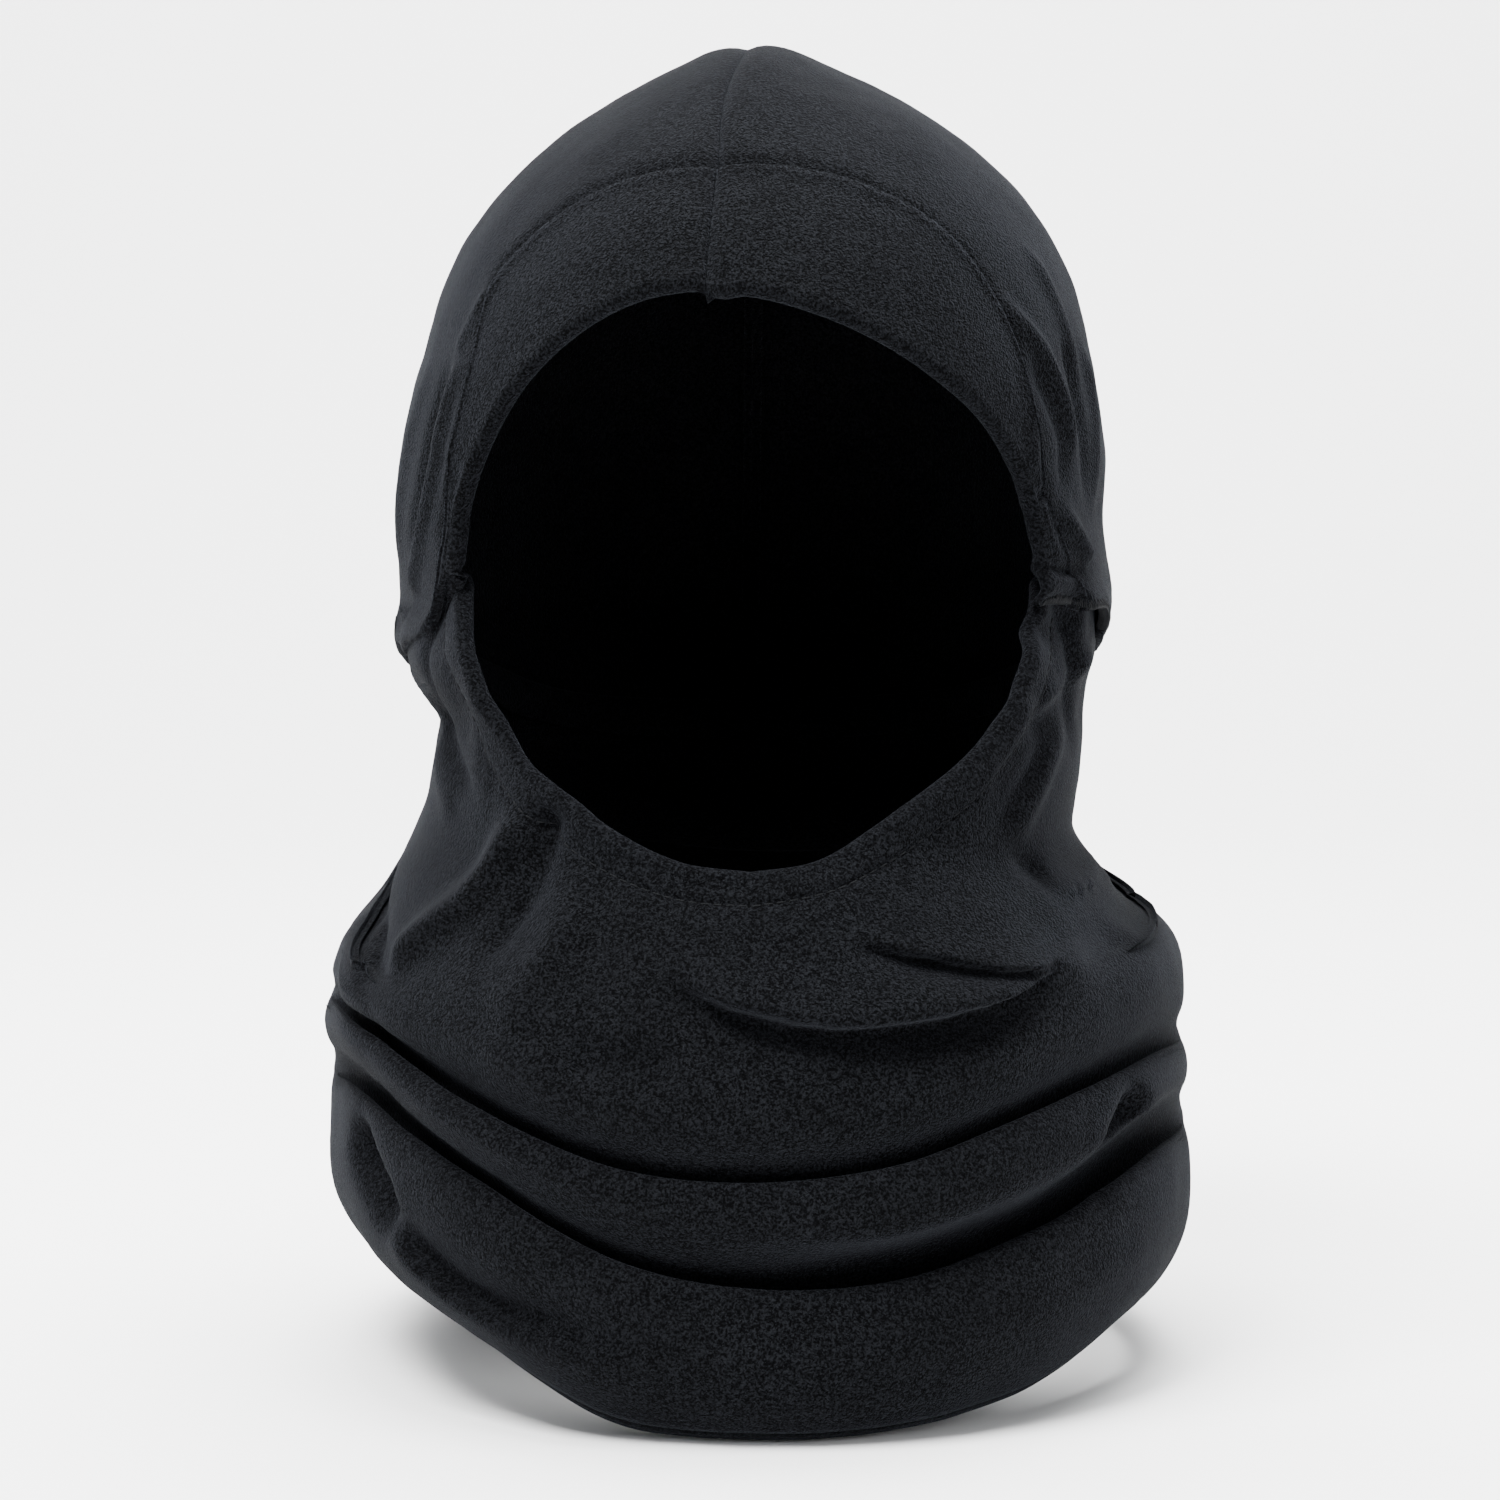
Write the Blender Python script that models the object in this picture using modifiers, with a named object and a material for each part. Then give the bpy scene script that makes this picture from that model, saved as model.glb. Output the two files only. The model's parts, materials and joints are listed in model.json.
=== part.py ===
"""Hinged fleece balaclava, pulled down under the chin and standing on its hem.

Metres, +Z up. The face opening looks along -Y, and the floor under the hem is Z = 0.
The hood is a head form cut by ribs that fan out from the hinge line through both jaws.
"""

import math

import bpy
from mathutils import Vector

# cloth
CLOTH = 0.0024          # one layer of fleece
ELASTIC = 0.0010
SEAM = 0.0014           # pressed seam allowance
GAP = 0.0003

# head form: an ellipsoid that is longer below its middle than above it
HEAD_Y = 0.0072
HEAD_Z = 0.218
HEAD_HALF_WIDTH = 0.0905
HEAD_HALF_DEPTH = 0.1068
HEAD_UP = 0.115
HEAD_DOWN = 0.200

# hinge line through the jaws, along X
HINGE_Y = -0.020
HINGE_Z = 0.170

# hood, in rib angles about the hinge line: 0 points forward, 90 points up
RIM_RIB = 56.0
BAND_RIB = 70.0
NAPE_RIB = 190.0
JAW_RIB = 31.0          # the rim comes down to this rib beside the jaw
JAW_TURN = 53.0
JAW_CURVE = 8
HOOD_END_TURN = 84.0
MIDDLE_TURN = 0.15      # half the gap along the crown
SEAM_RIB_GAP = 0.4
CROWN_SEAM_TURN = 1.8
FIRST_RIB = BAND_RIB + SEAM_RIB_GAP
HOOD_RIBS = [FIRST_RIB + (NAPE_RIB - FIRST_RIB) * i / 20 for i in range(21)]
HOOD_STEPS = 12
CASING = 2 * CLOTH + ELASTIC + 4 * GAP      # across both layers of a turned-in casing
FOLD_CORNER = 0.0012                        # how far a fold's edge is rounded off
BAND_STEPS = 14

# lower face panel, a visor about the hinge line
TACK_X = 0.0822
TACK_DROP = 0.012
TACK_SIZE = (0.0010, 0.0035, 0.0100)
VISOR_HALF_WIDTH = 0.0730
VISOR_RADIUS = 0.084
CHIN_RIB = -24.4
WING_RIB = 12.0
VISOR_LOW_RIB = -66.0
CHIN_HEM = 0.008
CHIN_EDGE_SHARE = 0.83  # of the half width, where the chin edge has risen to the wings
CHIN_EDGE_POWER = 7
STITCH_GAP = 1.06       # the panel starts this far down, in hem heights
WING_TURNS = [72 * i / 14 for i in range(-14, 15)]      # across the visor, wing to wing
ELASTIC_TURNS = WING_TURNS[6:-6]
PANEL_STEPS = 10

# neck tube: height, half width, depth in front, depth behind
NECK_STATIONS = (
    (0.000, 0.0960, 0.1080, 0.0960),
    (0.022, 0.1070, 0.1150, 0.1040),
    (0.060, 0.1120, 0.1180, 0.1080),
    (0.088, 0.1110, 0.1150, 0.1060),
    (0.122, 0.0900, 0.1070, 0.0990),
    (0.150, 0.0810, 0.1040, 0.0985),
    (0.168, 0.0785, 0.1030, 0.0985),
    (0.190, 0.0765, 0.1010, 0.0985),
)
HEM_ROUNDNESS = 2.2     # superellipse powers: a fuller section beside the jaws
JAW_ROUNDNESS = 2.7
NAPE_ROUNDNESS = 2.0
NECK_STEPS = 12
NECK_TURN_STEPS = 24
HEM_HEIGHT = 0.020
HEM_THICKNESS = 0.0050
HEM_STEPS = 4
HEM_TURN_STEPS = 48
NECK_TOP_FRONT = 0.1255
NECK_TOP_SIDE = 0.184
NECK_TOP_BACK = 0.158
RISE_START, RISE_SPAN, RISE_POWER = 12, 45, 1.6     # degrees round from the chin
FALL_SPAN = 70                                      # degrees round from the side to the nape
NECK_RADIUS = 0.1
SIDE_SEAM_HALF_WIDTH = 0.0045
JOIN_HEIGHT = 0.008
JOIN_AZIMUTHS = (147, 213)
JOIN_STEPS = 14

FLEECE_COLOUR = (0.0144, 0.0160, 0.0194, 1.0)
SEAM_COLOUR = (0.0110, 0.0120, 0.0150, 1.0)
ELASTIC_COLOUR = (0.0200, 0.0200, 0.0210, 1.0)
THREAD_COLOUR = (0.0080, 0.0085, 0.0100, 1.0)


def clear_scene():
    for old in list(bpy.data.objects):
        bpy.data.objects.remove(old, do_unlink=True)


def make_material(name, colour, roughness):
    material = bpy.data.materials.new(name)
    material.use_nodes = True
    shader = material.node_tree.nodes["Principled BSDF"]
    shader.inputs["Base Color"].default_value = colour
    shader.inputs["Roughness"].default_value = roughness
    shader.inputs["Metallic"].default_value = 0.0
    return material


def make_collection(name):
    collection = bpy.data.collections.new(name)
    bpy.context.scene.collection.children.link(collection)
    return collection


def lerp(a, b, t):
    return a + (b - a) * t


def spread(low, high, steps):
    return [lerp(low, high, i / steps) for i in range(steps + 1)]


# head form and ribs

def head_point(rib, turn, inset=0.0):
    """Where a ray from the middle of the hinge line meets the head form.

    Rib turns it about the hinge line, and turn swings it towards the jaws, at -90 and 90.
    """
    rib, turn = math.radians(rib), math.radians(turn)
    ray = (math.sin(turn), -math.cos(turn) * math.cos(rib), math.cos(turn) * math.sin(rib))
    start = (0.0, HINGE_Y - HEAD_Y, HINGE_Z - HEAD_Z)
    for half_height, above in ((HEAD_UP, True), (HEAD_DOWN, False)):
        size = (HEAD_HALF_WIDTH - inset, HEAD_HALF_DEPTH - inset, half_height - inset)
        a = sum((ray[i] / size[i]) ** 2 for i in range(3))
        b = 2 * sum(start[i] * ray[i] / size[i] ** 2 for i in range(3))
        c = sum((start[i] / size[i]) ** 2 for i in range(3)) - 1
        reach = (-b + math.sqrt(b * b - 4 * a * c)) / (2 * a)
        if (start[2] + reach * ray[2] >= 0) == above:
            break
    return Vector((reach * ray[0], HINGE_Y + reach * ray[1], HINGE_Z + reach * ray[2]))


def band_point(s, across, inset, side):
    """Band from its rim (0) to its seam (1); s runs from the brow (0) to the jaw (1)."""
    rim_rib = lerp(RIM_RIB, JAW_RIB, s ** JAW_CURVE)
    rib = lerp(rim_rib, BAND_RIB - SEAM_RIB_GAP, across)
    turn = s * lerp(JAW_TURN, HOOD_END_TURN, across)
    return head_point(rib, side * max(turn, MIDDLE_TURN), inset)


# visor and neck

def visor_point(rib, turn, inset=0.0):
    """A point of the visor about the hinge line; turn is -90 and 90 at its poles."""
    radius = (VISOR_RADIUS - inset) * math.cos(math.radians(turn))
    x = (VISOR_HALF_WIDTH - inset) * math.sin(math.radians(turn))
    angle = math.radians(rib)
    return Vector((x, -radius * math.cos(angle), radius * math.sin(angle)))


def chin_edge_rib(turn):
    """The chin edge runs low across the front and rises to the wings."""
    share = min(abs(math.sin(math.radians(turn))) / CHIN_EDGE_SHARE, 1.0)
    return lerp(CHIN_RIB, WING_RIB, share ** CHIN_EDGE_POWER)


def chin_hem_rib(turn, down):
    """Down the hem, from its fold (0) to its stitch line (1)."""
    radius = VISOR_RADIUS * math.cos(math.radians(turn))
    return chin_edge_rib(turn) - down * math.degrees(CHIN_HEM / radius)


def neck_section(z):
    """Half width, front depth and back depth of the neck tube at a height."""
    for low, high in zip(NECK_STATIONS, NECK_STATIONS[1:]):
        if z <= high[0]:
            break
    t = min(max((z - low[0]) / (high[0] - low[0]), 0.0), 1.0)
    ease = t * t * (3 - 2 * t)
    return [lerp(low[i], high[i], ease) for i in (1, 2, 3)]


def neck_point(azimuth, z, inset=0.0):
    """Azimuth 0 is the front, 90 the wearer's left (+X), 180 the nape."""
    half_width, front, back = neck_section(z)
    angle = math.radians(azimuth)
    across, ahead = math.sin(angle), math.cos(angle)
    depth = front if ahead > 0 else back
    top_roundness = JAW_ROUNDNESS if ahead > 0 else NAPE_ROUNDNESS
    power = 2 / lerp(HEM_ROUNDNESS, top_roundness, min(z / HINGE_Z, 1.0) ** 2)
    x = (half_width - inset) * math.copysign(abs(across) ** power, across)
    y = -(depth - inset) * math.copysign(abs(ahead) ** power, ahead)
    return Vector((x, y, z))


def neck_top(azimuth):
    """Height of the tube's top edge: low under the chin, high beside the jaws."""
    turn = abs((azimuth + 180) % 360 - 180)
    if turn < 90:
        rise = max(0.0, min((turn - RISE_START) / RISE_SPAN, 1.0))
        return lerp(NECK_TOP_FRONT, NECK_TOP_SIDE, rise ** RISE_POWER)
    fall = min((turn - 90) / FALL_SPAN, 1.0)
    return lerp(NECK_TOP_SIDE, NECK_TOP_BACK, fall * fall * (3 - 2 * fall))


# mesh helpers

def loft_object(name, rows, material, collection, round_row=False, round_rows=False, flip=False):
    """Faces between rows of points; a row, and the rows as a whole, can close on themselves."""
    width, height = len(rows[0]), len(rows)
    faces = []
    for i in range(height if round_rows else height - 1):
        for j in range(width if round_row else width - 1):
            k, n = (j + 1) % width, (i + 1) % height
            face = (i * width + j, i * width + k, n * width + k, n * width + j)
            faces.append(face[::-1] if flip else face)
    mesh = bpy.data.meshes.new(name)
    mesh.from_pydata([point for row in rows for point in row], [], faces)
    mesh.shade_smooth()
    mesh.materials.append(material)
    piece = bpy.data.objects.new(name, mesh)
    collection.objects.link(piece)
    return piece


def sheet_object(name, rows, material, collection, thickness, flip=False):
    """A sheet through rows of points, thickened inwards."""
    sheet = loft_object(name, rows, material, collection, flip=flip)
    solid = sheet.modifiers.new("cloth", "SOLIDIFY")
    solid.thickness = thickness
    solid.offset = -1
    return sheet


def side_rows(rows, side):
    """Rows for the left side run the other way, so that the faces still look out."""
    return rows if side > 0 else [row[::-1] for row in rows]


# sub-parts

def make_hood_panel(side, name, material, collection):
    rows = []
    for rib in HOOD_RIBS:
        rows.append([
            head_point(rib, side * turn)
            for turn in spread(MIDDLE_TURN, HOOD_END_TURN, HOOD_STEPS)
        ])
    return sheet_object(name, side_rows(rows, side), material, collection, CLOTH)


def make_crown_seam(material, collection):
    turns = (-CROWN_SEAM_TURN, 0, CROWN_SEAM_TURN)
    rows = [[head_point(rib, turn, CLOTH + 2 * GAP) for turn in turns] for rib in HOOD_RIBS[1:-1]]
    return sheet_object("crown_seam", rows, material, collection, SEAM)


def make_brow_band(side, name, material, collection):
    """A turned-in casing: outer layer, fold along the rim, inner layer."""
    section = [(t, 0.0) for t in spread(1, 0.12, 4)]
    section += [(0.02, FOLD_CORNER), (-0.01, 0.5 * CASING), (0.02, CASING - FOLD_CORNER)]
    section += [(t, CASING) for t in spread(0.12, 0.97, 4)]
    rows = [[band_point(s, t, inset, side) for s in spread(0, 1, BAND_STEPS)]
            for t, inset in section]
    return sheet_object(name, side_rows(rows, side), material, collection, CLOTH, flip=True)


def make_brow_elastic(material, collection):
    """A flat elastic between the two layers of the band, close to its fold."""
    inset = CLOTH + 2 * GAP
    stretch = spread(0, 1, BAND_STEPS)[:-3]
    rows = []
    for t in (0.60, 0.45, 0.33):
        left = [band_point(s, t, inset, -1) for s in stretch[::-1]]
        right = [band_point(s, t, inset, 1) for s in stretch]
        rows.append(left + right)
    return sheet_object("brow_elastic", rows, material, collection, ELASTIC, flip=True)


def neck_rows(azimuths, steps, inset=0.0):
    rows = []
    for t in spread(0, 1, steps):
        rows.append([
            neck_point(azimuth, lerp(HEM_HEIGHT + GAP, neck_top(azimuth), t), inset)
            for azimuth in azimuths
        ])
    return rows


def make_neck_panel(name, low, high, material, collection):
    rows = neck_rows(spread(low, high, NECK_TURN_STEPS), NECK_STEPS)
    return sheet_object(name, rows, material, collection, CLOTH)


def make_side_seam(side, name, material, collection):
    """Pressed-open allowance along the join of the front and back neck panels."""
    half_angle = math.degrees(SIDE_SEAM_HALF_WIDTH / NECK_RADIUS)
    azimuths = spread(90 * side - half_angle, 90 * side + half_angle, 2)
    rows = neck_rows(azimuths, NECK_STEPS, CLOTH + 3 * GAP)[1:-1]
    return sheet_object(name, rows, material, collection, SEAM)


def make_neck_join_seam(material, collection):
    """Overlocked allowance where the hood laps over the neck tube, round the nape."""
    rows = []
    for drop in spread(JOIN_HEIGHT, 0, 2):
        rows.append([
            neck_point(azimuth, neck_top(azimuth) - drop, -SEAM - GAP)
            for azimuth in spread(*JOIN_AZIMUTHS, JOIN_STEPS)
        ])
    return sheet_object("neck_join_seam", rows, material, collection, SEAM)


def make_bottom_hem(material, collection):
    """Turned-up hem of doubled cloth, flat where it stands."""
    azimuths = spread(0, 360, HEM_TURN_STEPS)[:-1]
    heights = spread(0, HEM_HEIGHT, HEM_STEPS)
    outer = [[neck_point(azimuth, z) for azimuth in azimuths] for z in heights]
    inner = [[neck_point(azimuth, z, HEM_THICKNESS) for azimuth in azimuths] for z in heights]
    return loft_object("bottom_hem", outer + inner[::-1], material, collection,
                       round_row=True, round_rows=True)


def hinge_child(piece, hinge):
    """A moving piece is modelled about the hinge line and hangs from it."""
    piece.parent = hinge
    return piece


def make_chin_panel(hinge, material, collection):
    """Lower face panel from the hem's stitch line down inside the neck."""
    rows = []
    for t in spread(0, 1, PANEL_STEPS):
        rows.append([
            visor_point(lerp(VISOR_LOW_RIB, chin_hem_rib(turn, STITCH_GAP), t), turn)
            for turn in WING_TURNS
        ])
    return hinge_child(sheet_object("chin_panel", rows, material, collection, CLOTH), hinge)


def make_chin_hem(hinge, material, collection):
    """Turned-in hem along the chin, folded over its elastic."""
    section = [(1.0, 0.0), (0.5, 0.0), (0.15, 0.0), (0.03, FOLD_CORNER), (0.0, 0.5 * CASING)]
    section += [(t, CASING - inset) for t, inset in section[3::-1]]
    rows = [
        [visor_point(chin_hem_rib(turn, t), turn, inset) for turn in WING_TURNS]
        for t, inset in section
    ]
    hem = sheet_object("chin_hem", rows, material, collection, CLOTH)
    return hinge_child(hem, hinge)


def make_chin_elastic(hinge, material, collection):
    inset = CLOTH + 2 * GAP
    rows = [
        [visor_point(chin_hem_rib(turn, t), turn, inset) for turn in ELASTIC_TURNS]
        for t in (0.88, 0.70, 0.52)
    ]
    strip = sheet_object("chin_elastic", rows, material, collection, ELASTIC)
    return hinge_child(strip, hinge)


def make_hinge_tack(side, name, material, collection):
    """Bar tack that ties the wing of the lower panel to the hood at the jaw."""
    place = (side * TACK_X, HINGE_Y, HINGE_Z - TACK_DROP)
    bpy.ops.mesh.primitive_cube_add(size=1, location=place)
    tack = bpy.context.object
    tack.name = tack.data.name = name
    tack.scale = TACK_SIZE
    bpy.ops.object.transform_apply(location=False, rotation=False, scale=True)
    tack.data.materials.append(material)
    for owner in list(tack.users_collection):
        owner.objects.unlink(tack)
    collection.objects.link(tack)


def main():
    clear_scene()
    collection = make_collection("balaclava")
    fleece = make_material("fleece", FLEECE_COLOUR, 0.95)
    seam = make_material("seam_allowance", SEAM_COLOUR, 0.9)
    elastic = make_material("elastic", ELASTIC_COLOUR, 0.7)
    thread = make_material("thread", THREAD_COLOUR, 0.6)

    hinge = bpy.data.objects.new("chin_hinge", None)
    hinge.location = (0, HINGE_Y, HINGE_Z)
    collection.objects.link(hinge)

    for side, word in ((-1, "right"), (1, "left")):
        make_hood_panel(side, f"hood_panel_{word}", fleece, collection)
        make_brow_band(side, f"brow_band_{word}", fleece, collection)
        make_side_seam(side, f"side_seam_{word}", seam, collection)
        make_hinge_tack(side, f"hinge_tack_{word}", thread, collection)
    make_crown_seam(seam, collection)
    make_brow_elastic(elastic, collection)
    seam_gap = math.degrees(GAP / NECK_RADIUS)
    make_neck_panel("neck_front", -90 + seam_gap, 90 - seam_gap, fleece, collection)
    make_neck_panel("neck_back", 90 + seam_gap, 270 - seam_gap, fleece, collection)
    make_neck_join_seam(seam, collection)
    make_bottom_hem(fleece, collection)
    make_chin_panel(hinge, fleece, collection)
    make_chin_hem(hinge, fleece, collection)
    make_chin_elastic(hinge, elastic, collection)


main()
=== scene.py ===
import json
import math

import bpy
import numpy as np
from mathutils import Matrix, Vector, noise

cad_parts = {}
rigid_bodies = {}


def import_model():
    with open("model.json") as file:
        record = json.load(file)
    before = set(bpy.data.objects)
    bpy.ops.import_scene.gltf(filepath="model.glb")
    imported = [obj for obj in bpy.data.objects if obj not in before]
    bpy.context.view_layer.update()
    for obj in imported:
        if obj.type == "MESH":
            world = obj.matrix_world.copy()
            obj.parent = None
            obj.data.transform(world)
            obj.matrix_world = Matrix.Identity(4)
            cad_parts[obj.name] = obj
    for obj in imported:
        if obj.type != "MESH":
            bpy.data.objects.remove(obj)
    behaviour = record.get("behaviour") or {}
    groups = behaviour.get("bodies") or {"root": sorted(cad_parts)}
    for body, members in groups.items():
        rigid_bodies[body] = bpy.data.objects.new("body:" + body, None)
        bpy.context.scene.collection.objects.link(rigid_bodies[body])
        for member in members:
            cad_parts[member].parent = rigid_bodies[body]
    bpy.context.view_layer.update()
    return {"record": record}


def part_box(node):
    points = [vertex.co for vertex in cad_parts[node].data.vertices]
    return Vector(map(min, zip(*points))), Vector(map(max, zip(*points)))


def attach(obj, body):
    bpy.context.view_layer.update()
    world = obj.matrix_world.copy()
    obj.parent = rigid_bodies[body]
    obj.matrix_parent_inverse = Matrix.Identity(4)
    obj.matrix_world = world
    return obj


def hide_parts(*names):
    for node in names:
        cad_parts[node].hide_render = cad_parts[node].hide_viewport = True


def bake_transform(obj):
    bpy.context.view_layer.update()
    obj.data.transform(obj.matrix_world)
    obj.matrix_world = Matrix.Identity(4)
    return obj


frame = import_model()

# Looks of the hinged fleece balaclava: hood, brow casing, neck tube and their sewing.
# Metres, +Z up, and the face opening looks along -Y. Cloth is made as dense lofted grids that
# follow the head form and the tube's outline, with folds along listed lines.

# --- driving dimensions -------------------------------------------------------------------

MM = 0.001
CLOTH = 2.2 * MM
HOOD_GRID = 1.75 * MM       # spacing of the hood's grids
TUBE_COLUMNS = 400
UPPER_ROWS = 46             # of the tube's grid, above its collar
HEM_ROWS = 13
UNROLL = 0.095              # radius at which the tube's top is laid out flat
PANEL_LENGTH, PANEL_WIDTH = 0.270, 0.165      # of a hood panel, brow to nape and middle to edge
CASING_LENGTH = 0.150
CASING_ROWS = 24            # of the casing's outer layer, from its seam to the rim
CASING_FOLD = 2.6 * MM      # radius of the brow casing's fold
CHIN_FOLD = 2.5 * MM        # radius of the fold along the tube's top edge
OPENING_MIDDLE = np.array([0.0, -0.085, 0.205])
SEAM_ALLOWANCE = 7.0 * MM
CHIN_STITCH = 7.0 * MM      # from the chin edge down to its stitch line
STITCHED_SHARE = 0.178      # of the tube's columns, each way from the middle of the chin
ELASTIC_SHARE = 0.14
NAPE_COLUMNS = 38           # each way from the nape, under the neck join's allowance
TACK_PLACE = (0.089, -0.015, 0.184)      # of the wearer's left bar tack
OVERLOCKED = 34             # rows of the hood's cut edge that the jaw's overlock thread wraps
SIDES = (("right", -1), ("left", 1))
JOINT = frame["record"]["behaviour"]["joints"][0]
HINGE = np.array(JOINT["pos_m"])
ROOT, PANEL = JOINT["parent"], JOINT["child"]

# the head form: two half ellipsoids that share a level, sized from the CAD's hood panel
HEAD_SIZE_X, HEAD_BACK, HEAD_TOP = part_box("hood_panel_left")[1]
HEAD_DEPTH, HEAD_UP, HEAD_DOWN = 0.1068, 0.115, 0.200
HEAD_Y = HEAD_BACK - HEAD_DEPTH
HEAD_Z = HEAD_TOP - HEAD_UP


# --- small numeric helpers ----------------------------------------------------------------

def smooth(t):
    t = np.clip(t, 0.0, 1.0)
    return t * t * (3 - 2 * t)


def unit(vectors):
    return vectors / np.linalg.norm(vectors, axis=-1, keepdims=True)


def cubic_weights(t):
    """Weights of a cubic's start, start slope, end and end slope, at t from 0 to 1."""
    return 2 * t**3 - 3 * t**2 + 1, t**3 - 2 * t**2 + t, 3 * t**2 - 2 * t**3, t**3 - t**2


def spline(keys, values, at, period=None):
    """Cubic curve through (key, value) pairs, clamped at its ends or periodic."""
    keys, values = np.asarray(keys, float), np.asarray(values, float)
    at = np.asarray(at, float)
    if period:
        at = keys[0] + np.mod(at - keys[0], period)
        keys = np.concatenate([keys[-2:] - period, keys, keys[:3] + period])
        values = np.concatenate([values[-2:], values, values[:3]])
    slopes = np.gradient(values, keys)
    i = np.clip(np.searchsorted(keys, at, side="right") - 1, 0, len(keys) - 2)
    step = keys[i + 1] - keys[i]
    start, leave, end, arrive = cubic_weights(np.clip((at - keys[i]) / step, 0.0, 1.0))
    return (start * values[i] + leave * step * slopes[i]
            + end * values[i + 1] + arrive * step * slopes[i + 1])


def run_along(points):
    """Length along a polyline (n, 3) up to each of its points."""
    return np.concatenate([[0], np.cumsum(np.linalg.norm(np.diff(points, axis=0), axis=1))])


def run_down(grid):
    """Length down every column of a grid (rows, columns, 3) to each row."""
    steps = np.linalg.norm(np.diff(grid, axis=0), axis=2)
    return np.concatenate([np.zeros((1, grid.shape[1])), np.cumsum(steps, axis=0)])


def curve(points, count):
    """A smooth 3-D line through a few points, evenly sampled."""
    points = np.asarray(points, float)
    run = run_along(points)
    at = np.linspace(0, run[-1], count)
    return np.stack([spline(run, points[:, k], at) for k in range(3)], axis=1)


def grid_normals(grid, closed=False):
    """Unit normals of a grid (rows, columns, 3): along the rows crossed with along the columns."""
    if closed:
        wide = np.concatenate([grid[:, -2:], grid, grid[:, :2]], axis=1)
        across = np.gradient(wide, axis=1)[:, 2:-2]
    else:
        across = np.gradient(grid, axis=1)
    along = np.gradient(grid, axis=0)
    normals = np.cross(across, along)
    return normals / np.maximum(np.linalg.norm(normals, axis=2, keepdims=True), 1e-12)


def wander(points, scale, seed=0.0):
    """Smooth noise, about -1 to 1, at points (n, 3); scale is in cycles per metre."""
    offset = Vector((seed, 1.7 * seed, -seed))
    flat = points.reshape(-1, 3) * scale
    values = [noise.noise(Vector(p) + offset) for p in flat]
    return np.array(values).reshape(points.shape[:-1])


# --- strokes: folds, creases and pleats along lines on the cloth, in millimetres -------------

SIDEWAYS = (1, 0, 0)


def fold(line, height, width, up=(0, 0, 1), taper=(0.25, 0.25)):
    """A soft bump along a line, or a valley where its height is below zero."""
    return dict(kind="fold", line=line, height=height, width=width, up=up, taper=taper, samples=24)


def ledge(line, height, width, drop, drop_width, edge, up=(0, 0, 1), taper=(0.25, 0.25), samples=24):
    """An overlap: the cloth stands proud on the line's upper side and drops sharply below it."""
    return dict(kind="ledge", line=line, height=height, width=width, drop=drop,
                drop_width=drop_width, edge=edge, up=up, taper=taper, samples=samples)


def line_distance(points, line, up):
    """Distance to a polyline, which side of it, and how far along it, for points (n, 3)."""
    best = np.full(len(points), 1e9)
    side = np.zeros(len(points))
    along = np.zeros(len(points))
    reach = 0.05
    close = (points > line.min(0) - reach) & (points < line.max(0) + reach)
    near = np.nonzero(np.all(close, axis=1))[0]
    chosen = points[near]
    if not len(chosen):
        return best, side, along
    b_best, b_side, b_along = best[near], side[near], along[near]
    count = len(line) - 1
    for i in range(count):
        a, d = line[i], line[i + 1] - line[i]
        t = np.clip((chosen - a) @ d / max(d @ d, 1e-18), 0, 1)
        gap = chosen - (a + t[:, None] * d)
        distance = np.linalg.norm(gap, axis=1)
        closer = distance < b_best
        b_best = np.where(closer, distance, b_best)
        b_side = np.where(closer, np.sign(gap @ up), b_side)
        b_along = np.where(closer, (i + t) / count, b_along)
    best[near], side[near], along[near] = b_best, b_side, b_along
    return best, side, along


def stroke_offset(points, stroke):
    """Height that one stroke adds along the normal."""
    line = curve(np.array(stroke["line"]) * MM, stroke["samples"])
    distance, side, along = line_distance(points, line, np.array(stroke["up"]))
    taper_in, taper_out = stroke["taper"]
    fade = smooth(along / taper_in) * smooth((1 - along) / taper_out)
    height = stroke["height"] * MM
    width = stroke["width"] * MM
    if stroke["kind"] == "fold":
        return height * fade * np.exp(-(distance / width) ** 2)
    signed = distance * side
    upper = height * np.exp(-(np.maximum(signed, 0) / width) ** 1.6)
    lower = -stroke["drop"] * MM * np.exp(-(np.maximum(-signed, 0) / (stroke["drop_width"] * MM)) ** 1.6)
    mix = 0.5 + 0.5 * np.tanh(signed / (stroke["edge"] * MM))
    return fade * (mix * upper + (1 - mix) * lower)


# --- meshes -------------------------------------------------------------------------------

def new_object(name, data):
    """An object in the scene for a mesh, light or camera."""
    thing = bpy.data.objects.new(name, data)
    bpy.context.scene.collection.objects.link(thing)
    return thing


def mesh_object(name, vertices, faces, material, body=ROOT):
    """A smooth mesh that rides on a body, or on none yet where body is None."""
    mesh = bpy.data.meshes.new(name)
    mesh.from_pydata([tuple(v) for v in vertices], [], [tuple(f) for f in faces])
    mesh.update()
    mesh.shade_smooth()
    mesh.materials.append(material)
    piece = new_object(name, mesh)
    if body:
        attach(piece, body)
    return piece


def grid_faces(rows, columns, closed=False, flip=False):
    """Quads of a grid whose points are numbered row by row."""
    j = np.arange(columns if closed else columns - 1)
    k = (j + 1) % columns
    faces = []
    for i in range(rows - 1):
        here, below = i * columns, (i + 1) * columns
        quad = np.stack([here + j, here + k, below + k, below + j], 1)
        faces.append(quad[:, ::-1] if flip else quad)
    return np.concatenate(faces)


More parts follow.
